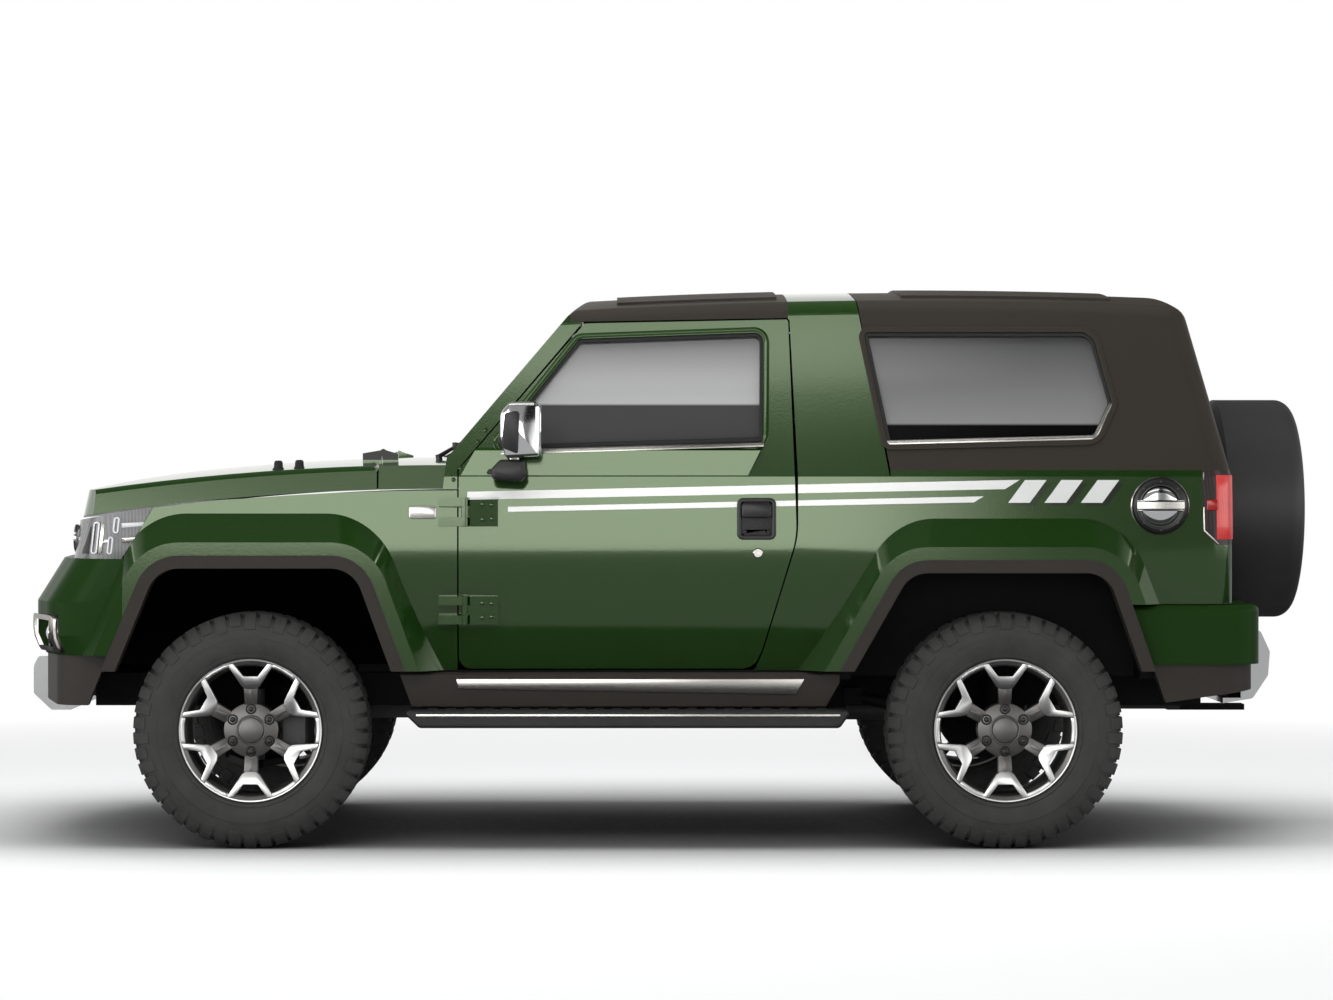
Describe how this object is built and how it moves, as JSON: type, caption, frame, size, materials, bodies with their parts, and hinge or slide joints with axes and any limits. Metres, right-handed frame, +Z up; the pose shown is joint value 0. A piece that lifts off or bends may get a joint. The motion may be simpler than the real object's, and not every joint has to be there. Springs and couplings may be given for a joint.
{
  "type": "sport utility vehicle",
  "caption": "Two-door off-road utility vehicle with flared arches, hinged doors, hood and tailgate, steered front wheels and a covered spare wheel at the rear.",
  "frame": {"origin": "on the ground under the middle of the vehicle's length and width", "axes": "+X to the rear, +Y to the vehicle's right, +Z up"},
  "size_m": [4.32, 2.14, 1.8399],
  "materials": {
    "green_paint": "gloss bottle-green paint",
    "dark_trim": "satin dark bronze",
    "black_plastic": "grained black",
    "black_cover": "satin black",
    "chrome": "polished",
    "glass": "tinted",
    "lamp_clear": "clear lens",
    "lamp_red": "red lens",
    "tyre": "rubber",
    "alloy": "machined and painted",
    "steel": "black chassis paint",
    "cast": "bare cast",
    "pipe": "dull",
    "cloth": "dark upholstery"
  },
  "bodies": {
    "chassis": {"windscreen_frame": "green_paint", "roof_hoop": "green_paint", "front_fenders": "green_paint", "rear_quarters": "green_paint", "cowl": "green_paint", "front_bumper": "green_paint", "rear_bumper": "green_paint", "roof_front": "dark_trim", "hardtop": "dark_trim", "arch_lips": "dark_trim", "valances": "dark_trim", "sills": "dark_trim", "front_panel": "black_plastic", "side_steps": "black_plastic", "wheel_liners": "black_plastic", "dashboard": "black_plastic", "steering_wheel": "black_plastic", "fuel_tank": "black_plastic", "guards": "chrome", "fuel_filler": "chrome", "windscreen": "glass", "side_glass": "glass", "head_lamps": "lamp_clear", "fog_lamps": "lamp_clear", "tail_lamps": "lamp_red", "floor_pan": "steel", "frame_rails": "steel", "frame_beams": "steel", "front_suspension": "steel", "rear_axle": "steel", "powertrain": "cast", "exhaust": "pipe", "front_seats": "cloth", "rear_bench": "cloth"},
    "door_left": {"door_left": "green_paint", "door_glass_left": "glass", "mirror_left": "chrome"},
    "door_right": {"door_right": "green_paint", "door_glass_right": "glass", "mirror_right": "chrome"},
    "hood": {"hood": "green_paint"},
    "tailgate": {"tailgate": "green_paint", "tailgate_glass": "glass", "spare_cover": "black_cover"},
    "knuckle_left": {"knuckle_left": "cast"},
    "knuckle_right": {"knuckle_right": "cast"},
    "wheel_front_left": {"tyre_front_left": "tyre", "rim_front_left": "alloy"},
    "wheel_front_right": {"tyre_front_right": "tyre", "rim_front_right": "alloy"},
    "wheel_rear_left": {"tyre_rear_left": "tyre", "rim_rear_left": "alloy"},
    "wheel_rear_right": {"tyre_rear_right": "tyre", "rim_rear_right": "alloy"}
  },
  "joints": [
    {"name": "steer_left", "type": "hinge", "parent": "chassis", "child": "knuckle_left", "pos_m": [-1.375, -0.705, 0.383], "axis": [0, 0, 1], "range_deg": [-32, 32]},
    {"name": "steer_right", "type": "hinge", "parent": "chassis", "child": "knuckle_right", "pos_m": [-1.375, 0.705, 0.383], "axis": [0, 0, 1], "range_deg": [-32, 32]},
    {"name": "door_left", "type": "hinge", "parent": "chassis", "child": "door_left", "pos_m": [-0.679, -0.878, 0.93], "axis": [0, 0, -1], "range_deg": [0, 65]},
    {"name": "door_right", "type": "hinge", "parent": "chassis", "child": "door_right", "pos_m": [-0.679, 0.878, 0.93], "axis": [0, 0, 1], "range_deg": [0, 65]},
    {"name": "hood", "type": "hinge", "parent": "chassis", "child": "hood", "pos_m": [-0.965, 0, 1.291], "axis": [0, 1, 0], "range_deg": [0, 50]},
    {"name": "tailgate", "type": "hinge", "parent": "chassis", "child": "tailgate", "pos_m": [1.838, 0.62, 1.05], "axis": [0, 0, 1], "range_deg": [0, 80]},
    {"name": "spin_front_left", "type": "hinge", "parent": "knuckle_left", "child": "wheel_front_left", "pos_m": [-1.375, -0.765, 0.383], "axis": [0, 1, 0], "continuous": true},
    {"name": "spin_front_right", "type": "hinge", "parent": "knuckle_right", "child": "wheel_front_right", "pos_m": [-1.375, 0.765, 0.383], "axis": [0, 1, 0], "continuous": true},
    {"name": "spin_rear_left", "type": "hinge", "parent": "chassis", "child": "wheel_rear_left", "pos_m": [1.075, -0.765, 0.383], "axis": [0, 1, 0], "continuous": true},
    {"name": "spin_rear_right", "type": "hinge", "parent": "chassis", "child": "wheel_rear_right", "pos_m": [1.075, 0.765, 0.383], "axis": [0, 1, 0], "continuous": true}
  ],
  "couplings": [
    {"joint": "steer_right", "follows": "steer_left", "ratio": 1}
  ]
}
